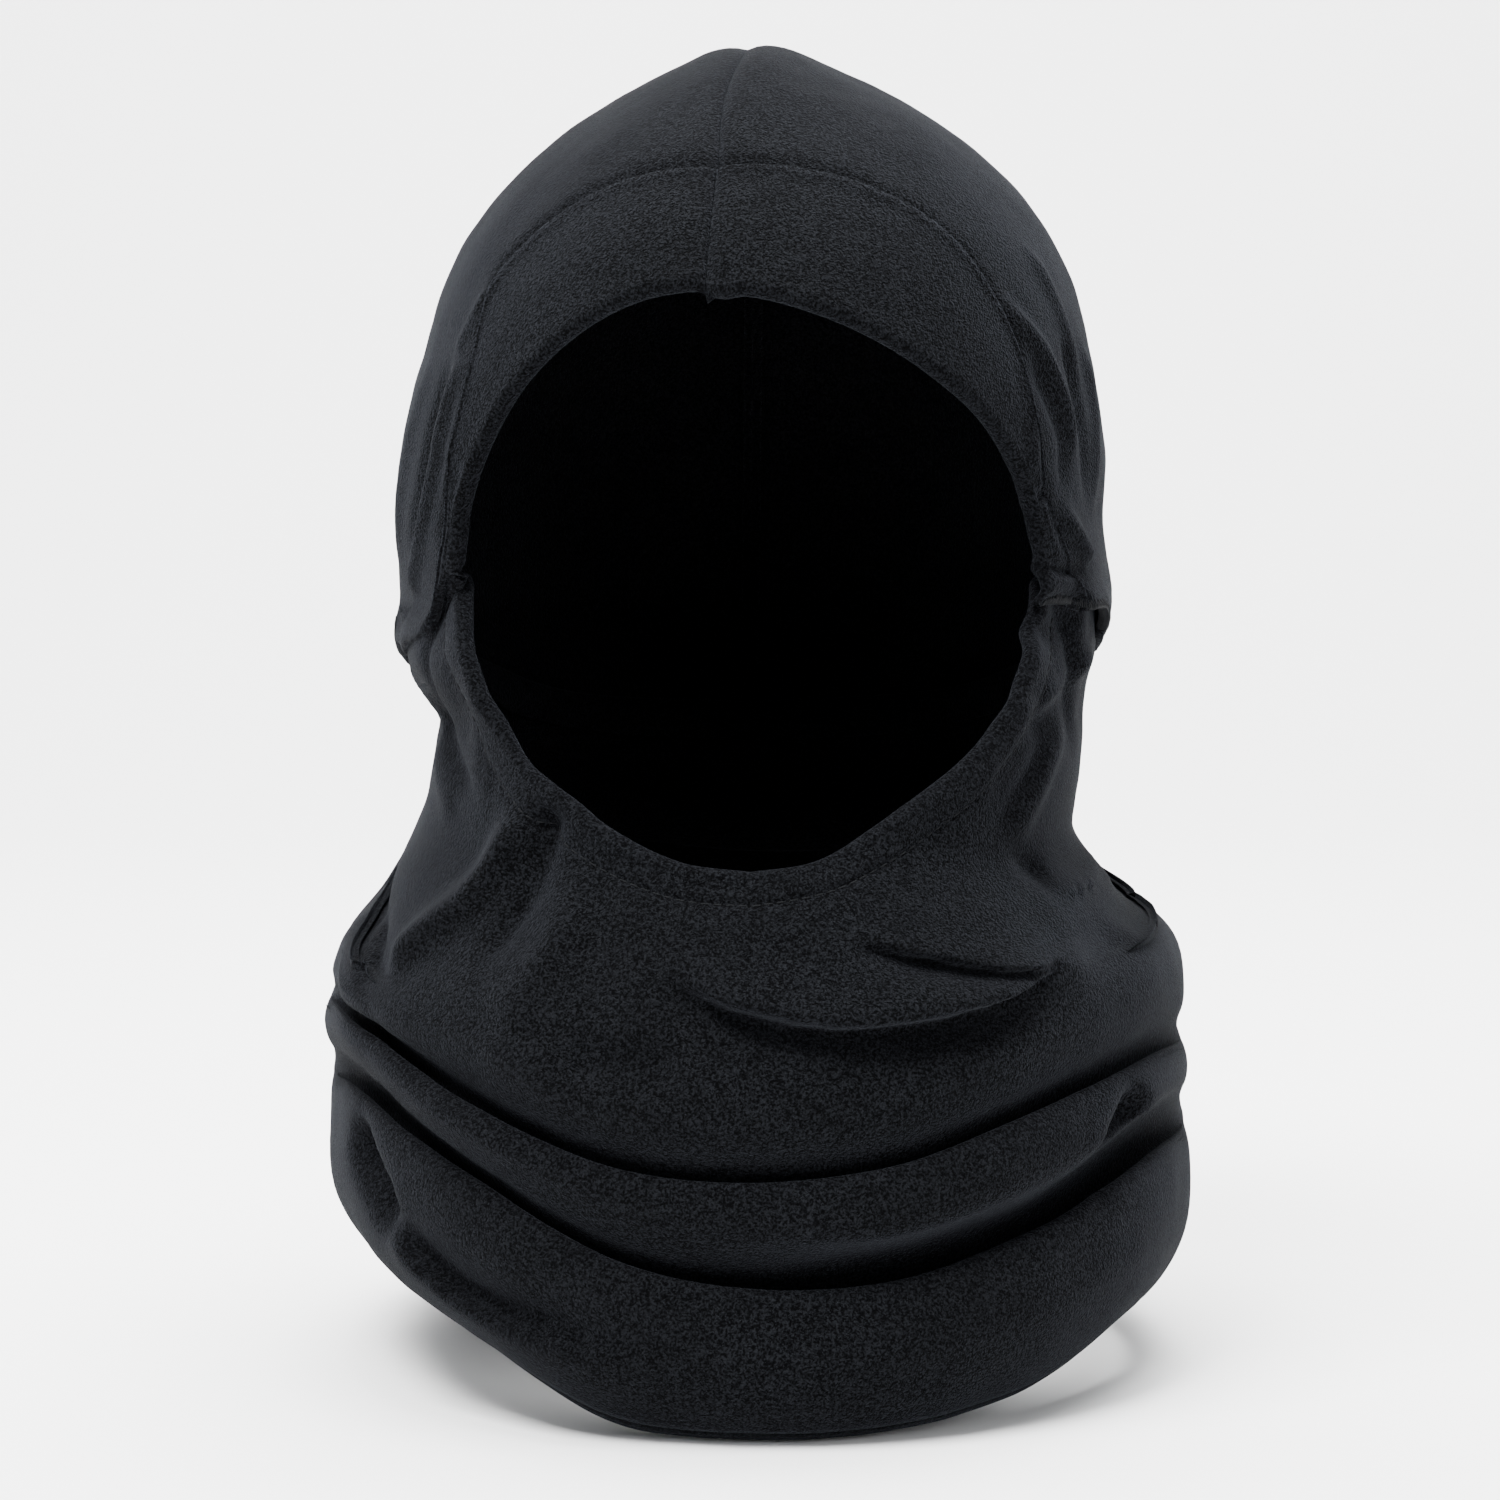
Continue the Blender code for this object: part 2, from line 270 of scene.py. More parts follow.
def cloth_piece(name, grid, material, closed=False, thickness=CLOTH, flip=False,
                body=ROOT):
    """A grid of points as a cloth panel with thickness; the grid is its outer face."""
    rows, columns = grid.shape[:2]
    faces = grid_faces(rows, columns, closed, flip)
    piece = mesh_object(name, grid.reshape(-1, 3), faces, material, body)
    solid = piece.modifiers.new("cloth", "SOLIDIFY")
    solid.thickness = thickness
    solid.offset = -1
    bpy.context.view_layer.update()
    evaluated = piece.evaluated_get(bpy.context.evaluated_depsgraph_get())
    thick = bpy.data.meshes.new_from_object(evaluated)
    piece.modifiers.clear()
    piece.data = thick
    thick.shade_smooth()
    return piece


# --- materials ----------------------------------------------------------------------------

def node_material(name):
    material = bpy.data.materials.new(name)
    material.use_nodes = True
    tree = material.node_tree
    return material, tree, tree.nodes["Principled BSDF"]


def set_inputs(node, values):
    for name, value in values.items():
        node.inputs[name].default_value = value


def add_node(tree, kind, values, links):
    """A shader node with some inputs set and others linked to outputs."""
    node = tree.nodes.new("ShaderNode" + kind)
    set_inputs(node, values)
    for name, output in links.items():
        tree.links.new(output, node.inputs[name])
    return node


def add_noise(tree, place, scale, detail=2.0, roughness=0.5):
    values = {"Scale": scale, "Detail": detail, "Roughness": roughness}
    return add_node(tree, "TexNoise", values, {"Vector": place}).outputs["Fac"]


def add_ramp(tree, share, dark, light, start=0.0, end=1.0):
    """A colour between dark and light."""
    ramp = add_node(tree, "ValToRGB", {}, {"Fac": share})
    first, last = ramp.color_ramp.elements
    first.position, first.color = start, dark
    last.position, last.color = end, light
    return ramp.outputs["Color"]


def fleece_material(name, dark, light, nap=1.0):
    """Fleece: a short clumped nap in two scales, a soft sheen and faint cloudiness."""
    material, tree, shader = node_material(name)
    place = tree.nodes.new("ShaderNodeTexCoord").outputs["Object"]
    clumps = add_noise(tree, place, 1200.0, 2.0, 0.6)
    fibres = add_noise(tree, place, 2100.0, 1.0, 0.5)
    cloud = add_noise(tree, place, 28.0, 3.0, 0.55)
    grain = add_node(tree, "Mix", {"Factor": 0.45}, {"A": clumps, "B": fibres}).outputs["Result"]
    colour = add_ramp(tree, grain, dark, light, 0.44, 0.60)
    span = {"From Min": 0.3, "From Max": 0.7, "To Min": 0.86, "To Max": 1.14}
    shade = add_node(tree, "MapRange", span, {"Value": cloud})
    tint = add_node(tree, "VectorMath", {}, {})
    tint.operation = "SCALE"
    tree.links.new(colour, tint.inputs[0])
    tree.links.new(shade.outputs["Result"], tint.inputs["Scale"])
    tree.links.new(tint.outputs["Vector"], shader.inputs["Base Color"])
    bump = add_node(tree, "Bump", {"Strength": 0.9, "Distance": 0.0011 * nap}, {"Height": grain})
    tree.links.new(bump.outputs["Normal"], shader.inputs["Normal"])
    set_inputs(shader, {"Roughness": 0.95, "Specular IOR Level": 0.03, "Sheen Weight": 0.025,
                        "Sheen Roughness": 0.45, "Sheen Tint": (0.75, 0.82, 1.0, 1.0)})
    return material


def thread_material(name, colour):
    """Spun polyester thread: fine twist along the strand and a slight gloss."""
    material, tree, shader = node_material(name)
    place = tree.nodes.new("ShaderNodeTexCoord").outputs["Object"]
    dark, light = ([k * c for c in colour] + [1.0] for k in (0.6, 1.5))
    twist = add_ramp(tree, add_noise(tree, place, 3500.0, 1.0), dark, light)
    tree.links.new(twist, shader.inputs["Base Color"])
    set_inputs(shader, {"Roughness": 0.85, "Specular IOR Level": 0.12})
    return material


def elastic_material(name):
    """Flat braided elastic: fine ribs across the strip."""
    material, tree, shader = node_material(name)
    place = tree.nodes.new("ShaderNodeTexCoord").outputs["Object"]
    ribs = add_node(tree, "TexWave", {"Scale": 420.0, "Distortion": 1.0}, {"Vector": place}).outputs["Fac"]
    colour = add_ramp(tree, ribs, (0.012, 0.012, 0.013, 1), (0.035, 0.035, 0.037, 1))
    tree.links.new(colour, shader.inputs["Base Color"])
    bump = add_node(tree, "Bump", {"Distance": 0.0003}, {"Height": ribs})
    tree.links.new(bump.outputs["Normal"], shader.inputs["Normal"])
    shader.inputs["Roughness"].default_value = 0.7
    return material


# --- hood ---------------------------------------------------------------------------------

# A panel is drawn on the head form by v, from 0 at the rim to 1 at the nape, and s, from 0 at the
# middle seam to 1 at the lower edge. Ribs and turns are the form's two angles in degrees. Tables
# with two sides hold the wearer's right under -1 and the left under 1.
BAND = 0.12                 # the v at which the casing is sewn on
MIDDLE_RIBS = ((0, BAND, 1), (57.6, 70, 190))
MIDDLE_DRIFT = ((0, BAND, 0.20, 0.30, 0.42, 1), (-4.8, -3.3, -2.7, -0.6, 0, 0))
EDGE_AT = (BAND, 0.20, 0.30, 0.52, 0.78, 1.0)
EDGE_RIBS = {-1: (36, 46, 74, 112, 160, 190), 1: (44, 58, 78, 112, 160, 190)}
EDGE_TURNS = {-1: (68, 75, 81, 80, 74, 60), 1: (67, 72, 78, 80, 74, 60)}
SEAM_AT = (0, 0.22, 0.33, 0.43, 0.50, 0.57, 0.65, 0.82, 1.0)
SEAM_RIBS = {-1: (70, 72.4, 73.2, 72.4, 67.6, 63.0, 58.5, 46, 36),
             1: (70, 70.2, 69.4, 66.8, 63.8, 58.8, 54.5, 49, 44)}
RIM_AT = (0, 0.12, 0.28, 0.42, 0.62, 0.80, 1.0)
RIM_RIBS = {-1: (57.6, 58.2, 57.8, 56.0, 50.6, 44.5, 40.5), 1: (57.4, 55.6, 53.6, 52.8, 48.6, 41.8, 31.0)}
RIM_TURNS = {-1: (0, 10.8, 25.8, 35.8, 49.0, 54.8, 56.6), 1: (0, 10.6, 25.4, 35.0, 47.8, 54.4, 55.2)}
# how far the cloth stands off the form sideways, as a factor at each height
SLACK_Z = (0.15, 0.172, 0.183, 0.193, 0.205, 0.214, 0.234, 0.252, 0.268, 0.283, 0.298, 0.311, 0.324, 0.333)
SLACK = {-1: (0.93, 0.96, 1.015, 1.01, 1.015, 1.018, 1.006, 1.000, 1.004, 1.00, 0.975, 0.945, 0.88, 0.82),
         1: (0.96, 0.985, 1.01, 1.05, 1.025, 1.01, 1.018, 1.026, 1.040, 1.058, 1.060, 1.035, 0.98, 0.94)}


def head_points(rib, turn):
    """Points of the head form along rays from the middle of the hinge line, in degrees."""
    rib, turn = np.radians(rib), np.radians(turn)
    ray = np.stack([np.sin(turn), -np.cos(turn) * np.cos(rib), np.cos(turn) * np.sin(rib)], axis=-1)
    start = np.array([0.0, HINGE[1] - HEAD_Y, HINGE[2] - HEAD_Z])
    found = []
    for height in (HEAD_UP, HEAD_DOWN):
        size = np.array([HEAD_SIZE_X, HEAD_DEPTH, height])
        a = ((ray / size) ** 2).sum(-1)
        b = 2 * (start * ray / size**2).sum(-1)
        c = ((start / size) ** 2).sum() - 1
        found.append((-b + np.sqrt(b * b - 4 * a * c)) / (2 * a))
    reach = np.where(start[2] + found[0] * ray[..., 2] >= 0, found[0], found[1])
    points = reach[..., None] * ray + np.array([0.0, HINGE[1], HINGE[2]])
    x, z = points[..., 0], points[..., 2]
    slack = np.where(x < 0, spline(SLACK_Z, SLACK[-1], z), spline(SLACK_Z, SLACK[1], z))
    points[..., 0] = x * (1 + (slack - 1) * smooth(np.abs(x) / 0.02))
    crown_peak = np.exp(-((x - 0.003) / 0.014) ** 2) * smooth((z - 0.30) / 0.03)
    points[..., 2] += 2.4 * MM * crown_peak
    return points


def hood_chart(v, s, side):
    """Rib and turn at v and s. The casing lies between the rim's line and its seam's line."""
    above = np.clip(v, BAND, 1)
    middle = spline(*MIDDLE_RIBS, v)
    edge_rib = spline(EDGE_AT, EDGE_RIBS[side], above)
    edge_turn = spline(EDGE_AT, EDGE_TURNS[side], above)
    seam = spline(SEAM_AT, SEAM_RIBS[side], s)
    seam_share = (seam - SEAM_RIBS[side][0]) / (SEAM_RIBS[side][-1] - SEAM_RIBS[side][0])
    loosened = smooth((above - BAND) / 0.33)
    share = seam_share + (s**2.2 - seam_share) * loosened
    rib = spline(*MIDDLE_RIBS, above) + (edge_rib - spline(*MIDDLE_RIBS, above)) * share
    turn = edge_turn * s
    below = np.clip(1 - v / BAND, 0, 1)
    rib = rib + (spline(RIM_AT, RIM_RIBS[side], s) - rib) * below
    turn = turn + (spline(RIM_AT, RIM_TURNS[side], s) - turn) * below
    rib = np.where(s == 0, middle, rib)
    return rib, side * np.maximum(turn, 0.03) + spline(*MIDDLE_DRIFT, v) * (1 - smooth(s / 0.6))


HOOD_STROKES = [
    # wearer's right (x below 0): pleats that run down to the jaw beside the rim
    fold([(-66, -60, 252), (-70, -57, 240), (-73, -57, 228), (-75, -56, 214)], 1.1, 2.6, SIDEWAYS),
    fold([(-70, -52, 258), (-74, -50, 246), (-78, -49, 228), (-82, -40, 210), (-87, -28, 195)],
         1.8, 3.2, SIDEWAYS, taper=(0.2, 0.1)),
    fold([(-73, -46, 256), (-78, -44, 240), (-82, -42, 222), (-86, -30, 204)], -2.0, 3.2, SIDEWAYS),
    fold([(-80, -30, 258), (-85, -26, 240), (-88, -22, 220), (-90, -12, 198)], 1.3, 5, SIDEWAYS),
    fold([(-62, -54, 276), (-68, -50, 264), (-73, -46, 254)], 1.2, 2.6, SIDEWAYS),
    fold([(-72, -62, 232), (-75, -58, 218), (-77, -54, 206)], -1.1, 3.0, SIDEWAYS),
    # wearer's left (x above 0)
    fold([(64, -62, 254), (67, -63, 244), (68.5, -65, 233), (68, -66, 224)], 1.3, 2.2, SIDEWAYS),
    fold([(57, -60, 271), (66, -56, 262), (74, -50, 252), (79, -46, 240), (82, -43, 226)],
         1.9, 2.6, SIDEWAYS),
    fold([(66, -58, 256), (73, -54, 245), (77, -50, 232), (77, -53, 220)], -1.6, 3.0, SIDEWAYS),
    fold([(66, -40, 285), (72, -37, 274), (78, -35, 262), (83, -33, 246)], 1.3, 2.8, SIDEWAYS),
    fold([(76, -40, 262), (82, -38, 246), (85, -37, 230), (85, -39, 217)], -1.9, 2.8, SIDEWAYS),
    fold([(82, -24, 262), (87, -24, 244), (88.5, -28, 228), (87, -32, 214)], 1.6, 3.2, SIDEWAYS),
    fold([(69, -65, 220), (73, -60, 223), (77, -55, 226)], -2.2, 1.7, taper=(0.5, 0.4)),
    fold([(76, -55, 219), (80, -48, 213), (83, -42, 207), (84, -38, 203)],
         2.6, 3.4, (1, 0, 0.5), taper=(0.35, 0.2)),
    fold([(71, -64, 206), (77, -55, 203), (83, -46, 203), (88, -34, 205)], -2.2, 1.7, taper=(0.3, 0.25)),
]


def shape_by(grid, strokes, directions):
    """The grid with every stroke's height added along the directions."""
    points = grid.reshape(-1, 3)
    total = np.zeros(len(points))
    for stroke in strokes:
        total += stroke_offset(points, stroke)
    return grid + directions * total.reshape(grid.shape[:2])[..., None]


def seam_allowance(grid, normals, side, width):
    """Columns that turn down inside along the middle seam, ahead of the grid's own."""
    flaps = []
    for depth in np.linspace(width, 0.8 * MM, 6):
        flap = grid[:, 0] - normals[:, 0] * depth
        flap[:, 0] = grid[:, 0, 0] - side * 0.05 * MM
        flaps.append(flap)
    return np.concatenate([np.stack(flaps, axis=1), grid], axis=1)


def turned_by(angle, edge, out, normal, radius):
    """Where cloth that folds under at an edge has got to after an angle."""
    return edge + radius * (math.sin(angle) * out - (1 - math.cos(angle)) * normal)


def turned_edge(grid, normals, radius, width):
    """Columns that fold under at the grid's last column, after the grid's own."""
    out = unit(grid[:, -1] - grid[:, -3])
    normal = normals[:, -2]
    turned = [turned_by(a, grid[:, -1], out, normal, radius) for a in np.linspace(0, math.pi, 7)[1:]]
    for depth in np.linspace(0, width, 5)[1:]:
        turned.append(turned[5] - out * depth)
    return np.concatenate([grid, np.stack(turned, axis=1)], axis=1)


def hood_patch(v_from, v_to, side, rows, columns):
    """Points, outward normals, v and s of a grid on the head form."""
    v, s = np.meshgrid(np.linspace(v_from, v_to, rows), np.linspace(0, 1, columns), indexing="ij")
    rib, turn = hood_chart(v, s, side)
    points = head_points(rib, turn)
    normals = grid_normals(points) * side * (1 if v_to > v_from else -1)
    return points, normals, v, s


def build_hood(materials):
    pieces = {}
    for word, side in SIDES:
        rows, columns = int(PANEL_LENGTH / HOOD_GRID), int(PANEL_WIDTH / HOOD_GRID)
        panel, normals, v, s = hood_patch(BAND, 1.0, side, rows, columns)
        rise = 1.3 * MM * wander(panel, 20.0, 3.1 + side) + 0.55 * MM * wander(panel, 55.0, 8.0 + side)
        rise += 0.2 * MM * wander(panel, 120.0, 2.0 + side)
        dip = -1.1 * MM * np.exp(-(s * PANEL_WIDTH / (1.7 * MM)) ** 2)
        groove = -1.3 * MM * np.exp(-((v - BAND) / 0.010) ** 2)
        flare = 2.2 * MM * smooth((s - 0.90) / 0.10)
        panel = panel + normals * (rise * smooth(s / 0.06) + dip + groove + flare)[..., None]
        panel = shape_by(panel, HOOD_STROKES, normals)
        jitter = 0.5 * MM * wander(panel[:, -1], 300.0, 4.0) + 0.7 * MM * wander(panel[:, -1], 90.0, 6.0)
        panel[:, -1, 2] += jitter
        whole = seam_allowance(panel, normals, side, SEAM_ALLOWANCE)
        if side < 0:
            wide_normals = np.concatenate([normals[:, :6], normals], axis=1)
            whole = turned_edge(whole, wide_normals, 1.9 * MM, 9 * MM)
        piece = cloth_piece(f"hood_{word}", whole, materials["fleece"], flip=side < 0)
        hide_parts(f"hood_panel_{word}")
        pieces[word] = (panel, normals)

        casing, outer, outer_normals = brow_casing(side)
        band = cloth_piece(f"brow_casing_{word}", casing, materials["fleece"], flip=side > 0)
        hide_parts(f"brow_band_{word}")
        pieces["casing_" + word] = (outer, outer_normals)
    return pieces


def brow_casing(side):
    """Outer layer from the seam to the rim, round the fold, and back inside."""
    columns = int(CASING_LENGTH / HOOD_GRID)
    outer, normals, v, s = hood_patch(BAND - 0.0008, 0.0, side, CASING_ROWS, columns)
    tangent = unit(outer[-1] - outer[-5])
    inward = unit(OPENING_MIDDLE - outer[-1])
    tangent += (inward - tangent) * smooth((s[0] - 0.55) / 0.2)[:, None]
    share = 1 - v / BAND                             # 0 at the seam, 1 at the rim
    proud = 1.5 * MM * smooth(share / 0.05) * (1 - 0.4 * smooth((share - 0.5) / 0.5))
    ridge = 0.7 * MM * np.exp(-((share - 0.06) / 0.035) ** 2)
    centre = -0.9 * MM * np.exp(-(s * CASING_LENGTH / (1.6 * MM)) ** 2)
    soft = 0.9 * MM * wander(outer, 28.0, 12.0 + side) * smooth(s / 0.08)
    sunk = -3.2 * MM * smooth((s - 0.90) / 0.10) * smooth(share / 0.3)
    outer = outer + normals * (proud + ridge + centre + soft + sunk)[..., None]
    outer = shape_by(outer, HOOD_STROKES, normals)
    notch = np.exp(-((outer[-1, :, 0] + 6.5 * MM) / (3.5 * MM)) ** 2)
    rim_rows = smooth((np.arange(CASING_ROWS) - (CASING_ROWS - 6)) / 5.0)
    outer[..., 2] -= 1.5 * MM * rim_rows[:, None] * notch[None, :]
    tangent -= normals[-1] * (tangent * normals[-1]).sum(axis=1, keepdims=True)
    tangent = unit(tangent)
    radius = (CASING_FOLD * (1 - 0.5 * smooth((s[0] - 0.80) / 0.20)))[:, None]
    turned = np.array([turned_by(a, outer[-1], tangent, normals[-1], radius)
                       for a in np.linspace(0, math.pi, 9)[1:]])
    lining = np.array([outer[i] - 2 * radius * normals[i] for i in range(CASING_ROWS - 2, 1, -1)])
    casing = np.concatenate([outer, turned, lining])
    flaps = seam_allowance(outer, normals, side, 2.0 * MM)
    lead = np.repeat(casing[CASING_ROWS:, :1], flaps.shape[1] - casing.shape[1], axis=1)
    lower = np.concatenate([lead, casing[CASING_ROWS:]], axis=1)
    return np.concatenate([flaps, lower]), outer, normals


# --- neck tube ----------------------------------------------------------------------------

# The plain tube at each height: its half widths on the viewer's left (x below 0) and right, and
# its half depths in front and behind.
COLUMN_Z = (0.060, 0.076, 0.083, 0.095, 0.107, 0.118, 0.123, 0.128, 0.134, 0.142, 0.150, 0.158,
            0.166, 0.172, 0.180, 0.190, 0.205)
COLUMN_LEFT = (0.1075, 0.1085, 0.1090, 0.1085, 0.1045, 0.0950, 0.0925, 0.0905, 0.0870, 0.0840, 0.0825,
               0.0812, 0.0808, 0.0850, 0.0892, 0.0870, 0.0840)
COLUMN_RIGHT = (0.1130, 0.1120, 0.1115, 0.1110, 0.1085, 0.0990, 0.0940, 0.0880, 0.0835, 0.0835, 0.0850,
                0.0858, 0.0858, 0.0868, 0.0895, 0.0905, 0.0880)
COLUMN_FRONT = (0.1180, 0.1185, 0.1180, 0.1160, 0.1130, 0.1085, 0.1060, 0.1035, 0.1010, 0.1000, 0.1000,
                0.1000, 0.1000, 0.1000, 0.1000, 0.1000, 0.1000)
COLUMN_BACK = (0.1070, 0.1080, 0.1080, 0.1070, 0.1050, 0.1030, 0.1015, 0.0995, 0.0975, 0.0965, 0.0970,
               0.0975, 0.0980, 0.0985, 0.0985, 0.0985, 0.0985)
SECTION_POWER = 2.2

# Around the tube, in degrees from the front towards the wearer's left: the heights in mm of the
# collar's crease, the two creases below it and the hem, and how deep and open each crease is.
# LOW_TUCK is how far in the hem stands, in mm.
AROUND = (-90, -60, -35, -15, 0, 15, 35, 60, 90, 135, 180, 225)
COLLAR = (127, 104, 104, 102, 102, 102, 104, 112, 118, 130, 128, 136)
COLLAR_DEPTH = (0.4, 0.3, 0, 0, 0, 0, 0, 0.3, 0.4, 0.8, 0.9, 0.8)
CREASE_ONE = (90, 93, 78, 66, 64, 67, 77, 84, 80, 94, 86, 100)
ONE_DEPTH = (0.10, 0.55, 0.8, 0.65, 0.6, 0.65, 0.75, 0.5, 0.10, 0.5, 0.8, 0.5)
CREASE_TWO = (74, 75, 61, 44, 38, 38, 47, 60, 61, 66, 50, 74)
TWO_DEPTH = (0.05, 0.6, 0.85, 0.8, 0.9, 1, 1, 0.7, 0.05, 0.6, 0.9, 0.5)
TWO_GAPE = (0.2, 0.2, 0, 0, 0.6, 1.3, 1.0, 1.4, 0.5, 0, 0, 0)
HEM_LOW = (17, 24, 16, 2, 0.5, 1, 5, 14, 8, 3, 0.5, 6)
LOW_TUCK = (19, 13, 10, 7, 5, 6, 9, 12, 14, 11, 9, 12)


def tube_radius(azimuth, z):
    """Distance from the tube's axis to the plain tube at an azimuth (radians, 0 in front)."""
    left, right = spline(COLUMN_Z, COLUMN_LEFT, z), spline(COLUMN_Z, COLUMN_RIGHT, z)
    front, back = spline(COLUMN_Z, COLUMN_FRONT, z), spline(COLUMN_Z, COLUMN_BACK, z)
    across, ahead = np.sin(azimuth), np.cos(azimuth)
    wide = np.where(across < 0, left, right)
    deep = np.where(ahead > 0, front, back)
    reach = (np.abs(across) / wide) ** SECTION_POWER + (np.abs(ahead) / deep) ** SECTION_POWER
    return reach ** (-1 / SECTION_POWER)


def around(values, azimuth):
    """A table's value at azimuths in radians."""
    return spline(AROUND, values, np.degrees(azimuth), period=360.0)


# The visible rim from the chin up to the hood, in mm and with x counted outward on both sides,
# then the hidden top edge as azimuth and height.
RIM = {-1: [(0, -99.5, 132.4), (16.5, -98, 134.0), (31, -93.5, 139.0), (46.5, -85, 148.4),
            (59, -74.5, 160), (66, -69.5, 170), (70.2, -65.5, 180), (71.8, -60.5, 188),
            (72.4, -55, 195), (72.8, -49.5, 200)],
       1: [(0, -99.5, 132.4), (16.5, -98, 135.2), (31, -93.5, 142.2), (46.5, -85, 151.5),
           (58.5, -75.5, 162.5), (66.6, -70, 173), (70.2, -66.5, 182), (72.2, -60.5, 189),
           (73, -55, 195), (73.4, -49.5, 199)]}
LAP_AZIMUTHS = (61, 69, 80, 95, 120, 150, 180)
LAP_HEIGHTS = (200, 198, 192, 186, 172, 161, 157)


def top_edge(half_count):
    """Azimuth, height and radius around the top edge, from the nape round the front."""
    halves = []
    for side in (-1, 1):
        rim = np.array(RIM[side]) * MM
        azimuth = np.arctan2(rim[:, 0], -rim[:, 1])
        extra = np.hypot(rim[:, 0], rim[:, 1]) - tube_radius(side * azimuth, rim[:, 2])
        lap = np.radians(LAP_AZIMUTHS)
        keys = np.stack([np.concatenate([azimuth, lap]) * UNROLL,
                         np.concatenate([rim[:, 2], np.array(LAP_HEIGHTS) * MM]),
                         np.concatenate([extra, np.full(len(lap), -1.5 * MM)])], axis=1)
        run = np.concatenate([[0], np.cumsum(np.hypot(*np.diff(keys[:, :2], axis=0).T))])
        at = np.linspace(0, run[-1], half_count + 1)
        line = np.stack([spline(run, keys[:, k], at) for k in range(3)], axis=1)
        line[:, 0] *= side
        halves.append((line, run[len(rim) - 1] / run[-1]))
    (right, share_right), (left, share_left) = halves
    path = np.concatenate([right[:0:-1], left[:-1]])
    return path, (share_right + share_left) / 2


def crease_knots(z, depth, gape, above, below):
    """Heights and offsets (mm) down the cloth across one crease, from above it to below it.

    The cloth comes down, tucks in behind the next roll's lip, turns up in the pocket's floor
    and rolls over the lip. Depth 0 leaves plain cloth, and gape opens the pocket.
    """
    full = 24.0             # mm of plain cloth that a crease at its full size takes
    a, b, g = np.clip(above / full, 0.35, 1.0), np.clip(below / full, 0.35, 1.0), gape
    folded = [(12 * a, -0.3), (8 * a + 2 * g, -2.0 - g), (3.6 * a + 3.6 * g, -4.6 - 2 * g),
              (0.6 + 3.6 * g, -8.2 - 2.5 * g), (-4 + 2 * g, -10.5 - 3 * g), (-8.5, -10.6 - 3 * g),
              (-10.8, -8.6 - 1.5 * g), (-8, -6.4), (-3.5, -6.0), (-0.6, -5.1), (0.7, -3.1),
              (-0.5, -1.1), (-4 * b, 0.5), (-9 * b, 1.6)]
    count = len(folded)
    knots = []
    for k, (height, offset) in enumerate(folded):
        flat = 12 * a - (12 * a + 9 * b) * k / (count - 1)
        knots.append((z + flat + (height - flat) * depth, offset * depth))
    return knots


def rows_through(knots, counts):
    """Rows of (height, offset) along smooth curves through knots given for every column."""
    knots = np.array([np.stack(np.broadcast_arrays(*k)) for k in knots])
    steps = np.linalg.norm(np.diff(knots, axis=0), axis=1).mean(axis=1)
    keys = np.concatenate([[0], np.cumsum(np.maximum(steps, 0.5))])
    slopes = np.gradient(knots, keys, axis=0)
    rows = []
    for k, count in enumerate(counts):
        step = keys[k + 1] - keys[k]
        for t in np.arange(1, count + 1) / count:
            start, leave, end, arrive = cubic_weights(t)
            rows.append(start * knots[k] + leave * step * slopes[k]
                        + end * knots[k + 1] + arrive * step * slopes[k + 1])
    return rows


def ring(azimuth, radius, z):
    """Points round the tube's axis."""
    return np.stack([radius * np.sin(azimuth), -radius * np.cos(azimuth), z], axis=1)


